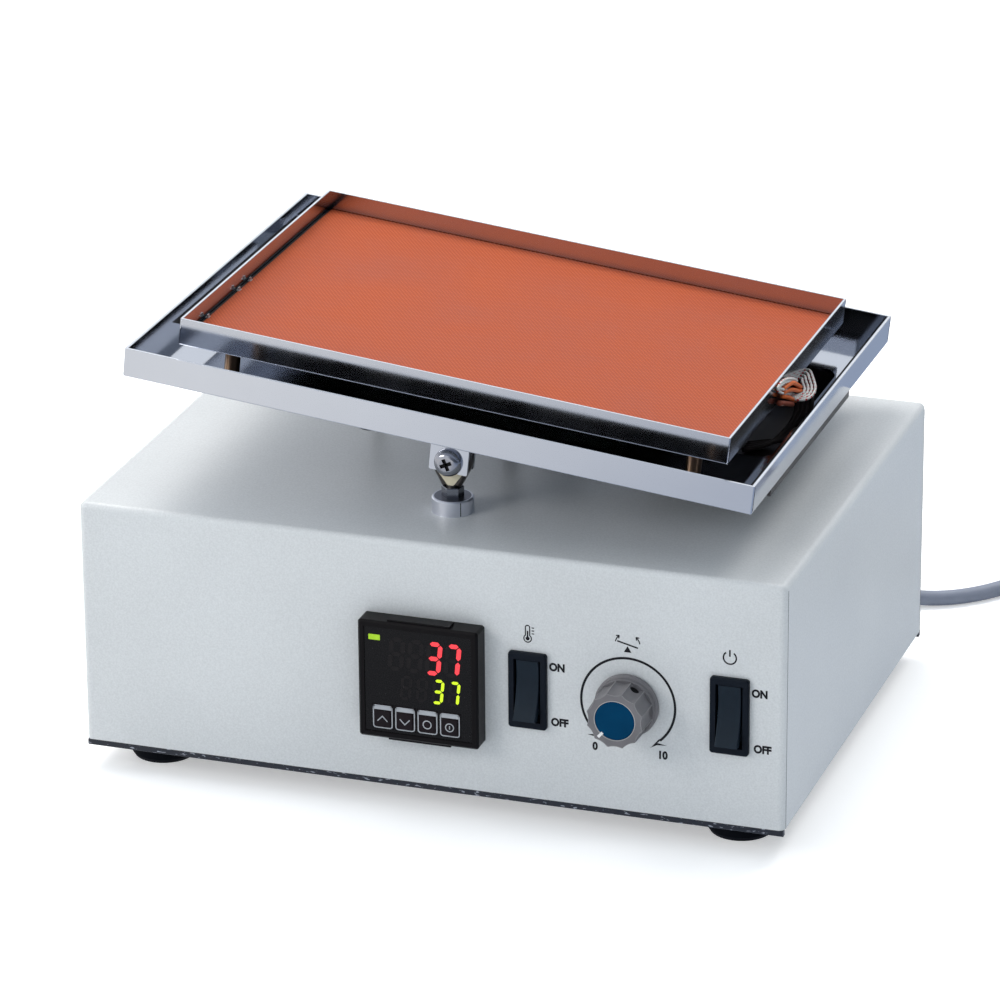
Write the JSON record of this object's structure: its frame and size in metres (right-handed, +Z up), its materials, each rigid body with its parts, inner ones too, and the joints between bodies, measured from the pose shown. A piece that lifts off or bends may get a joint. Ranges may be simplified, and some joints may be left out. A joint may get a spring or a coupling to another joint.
{
  "type": "heated rocking mixer",
  "caption": "Bench rocking mixer: a heated silicone-matted steel tray tilts on two rod ends over a casing with a temperature controller, speed knob and rocker switches.",
  "frame": {"origin": "on the table under the middle of the object's box, cord left out", "axes": "+Z up, the front panel faces -Y, +X to the user's right, the tray rocks about an axis along Y"},
  "size_m": [0.41, 0.3629, 0.1827],
  "materials": {
    "casing_paint": "fine textured light grey paint, semi-gloss",
    "pan_steel": "dark blue-grey paint",
    "foot_rubber": "matt black",
    "screw_steel": "bright plated",
    "black_plastic": "moulded, fine texture",
    "controller_black": "moulded, satin",
    "smoked_window": "smoked, semi-gloss",
    "switch_black": "moulded, satin",
    "rocker_black": "moulded, satin",
    "zinc_steel": "zinc plated",
    "nut_steel": "plated",
    "collar_aluminium": "turned, satin",
    "rod_end_steel": "turned, bright",
    "grommet_rubber": "black",
    "lead_sleeve": "brown braided sleeve",
    "motor_black": "black",
    "gearhead_metal": "die cast",
    "board_green": "green laminate with parts",
    "cord_pvc": "grey flexible sheath, satin",
    "blade_brass": "bright",
    "stainless": "polished sheet, near mirror",
    "chrome_screw": "bright",
    "ball_steel": "polished",
    "standoff_brass": "dull",
    "mat_silicone": "orange silicone with a fine ribbed face",
    "lead_braid": "white glass braid with a red tracer",
    "knob_grey": "moulded, satin",
    "knob_blue": "dark blue, semi-gloss",
    "key_black": "rubber key"
  },
  "bodies": {
    "base": {"cover_top": "casing_paint", "cover_left": "casing_paint", "cover_right": "casing_paint", "front_panel": "casing_paint", "rear_panel": "casing_paint", "base_pan": "pan_steel", "foot_front_left": "foot_rubber", "foot_front_right": "foot_rubber", "foot_rear_left": "foot_rubber", "foot_rear_right": "foot_rubber", "casing_screws": "screw_steel", "controller_case": "black_plastic", "controller_bezel": "controller_black", "controller_window": "smoked_window", "controller_clamp": "black_plastic", "heater_switch_body": "switch_black", "power_switch_body": "switch_black", "speed_pot_body": "zinc_steel", "speed_pot_nut": "nut_steel", "pivot_collars": "collar_aluminium", "rod_ends": "rod_end_steel", "rod_end_nuts": "nut_steel", "top_grommet": "grommet_rubber", "flexible_lead": "lead_sleeve", "motor": "motor_black", "gearhead": "gearhead_metal", "motor_bracket": "zinc_steel", "circuit_board": "board_green", "fuse_holder": "black_plastic", "strain_relief": "cord_pvc", "power_cord": "cord_pvc", "cord_coil": "cord_pvc", "plug_body": "cord_pvc", "plug_blades": "blade_brass"},
    "tray": {"lower_tray": "stainless", "pivot_brackets": "stainless", "pivot_screws": "chrome_screw", "pivot_balls": "ball_steel", "pivot_lock_nuts": "nut_steel", "tray_standoffs": "standoff_brass", "heater_tray": "stainless", "heater_mat": "mat_silicone", "heater_leads": "lead_braid", "wiring_cover": "stainless", "drive_bracket": "stainless", "drive_screw": "chrome_screw"},
    "link": {"link_rod": "rod_end_steel", "link_rod_ends": "rod_end_steel", "crank_pin": "chrome_screw"},
    "crank": {"crank_disc": "gearhead_metal", "output_shaft": "rod_end_steel"},
    "knob": {"speed_knob": "knob_grey", "knob_cap": "knob_blue", "pot_shaft": "zinc_steel"},
    "heater_rocker": {"heater_rocker": "rocker_black"},
    "power_rocker": {"power_rocker": "rocker_black"},
    "key_up": {"key_up": "key_black"},
    "key_down": {"key_down": "key_black"},
    "key_mode": {"key_mode": "key_black"},
    "key_output": {"key_output": "key_black"}
  },
  "joints": [
    {"name": "tray_rock", "type": "hinge", "parent": "base", "child": "tray", "pos_m": [-0.0013, 0.004, 0.1324], "axis": [0, 1, 0], "range_deg": [-12.5, 0], "deforming": ["flexible_lead"]},
    {"name": "link_swing", "type": "hinge", "parent": "tray", "child": "link", "pos_m": [-0.06094, 0.02, 0.13893], "axis": [0, 1, 0], "range_deg": [0, 12.5]},
    {"name": "crank_turn", "type": "hinge", "parent": "base", "child": "crank", "pos_m": [-0.06094, 0.029, 0.0604], "axis": [0, 1, 0], "range_deg": [0, 180]},
    {"name": "speed_turn", "type": "hinge", "parent": "base", "child": "knob", "pos_m": [0.08, -0.0982, 0.0562], "axis": [0, 1, 0], "range_deg": [0, 277]},
    {"name": "heater_switch", "type": "hinge", "parent": "base", "child": "heater_rocker", "pos_m": [0.0406, -0.0982, 0.0568], "axis": [1, 0, 0], "range_deg": [0, 22]},
    {"name": "power_switch", "type": "hinge", "parent": "base", "child": "power_rocker", "pos_m": [0.1199, -0.0982, 0.0568], "axis": [1, 0, 0], "range_deg": [0, 22]},
    {"name": "key_up_press", "type": "slide", "parent": "base", "child": "key_up", "axis": [0, 1, 0], "range_m": [0, 0.0005], "stiffness_N_per_m": 1000},
    {"name": "key_down_press", "type": "slide", "parent": "base", "child": "key_down", "axis": [0, 1, 0], "range_m": [0, 0.0005], "stiffness_N_per_m": 1000},
    {"name": "key_mode_press", "type": "slide", "parent": "base", "child": "key_mode", "axis": [0, 1, 0], "range_m": [0, 0.0005], "stiffness_N_per_m": 1000},
    {"name": "key_output_press", "type": "slide", "parent": "base", "child": "key_output", "axis": [0, 1, 0], "range_m": [0, 0.0005], "stiffness_N_per_m": 1000}
  ],
  "couplings": [
    {"joint": "crank_turn", "follows": "tray_rock", "ratio": -14.4},
    {"joint": "link_swing", "follows": "tray_rock", "ratio": -1}
  ]
}
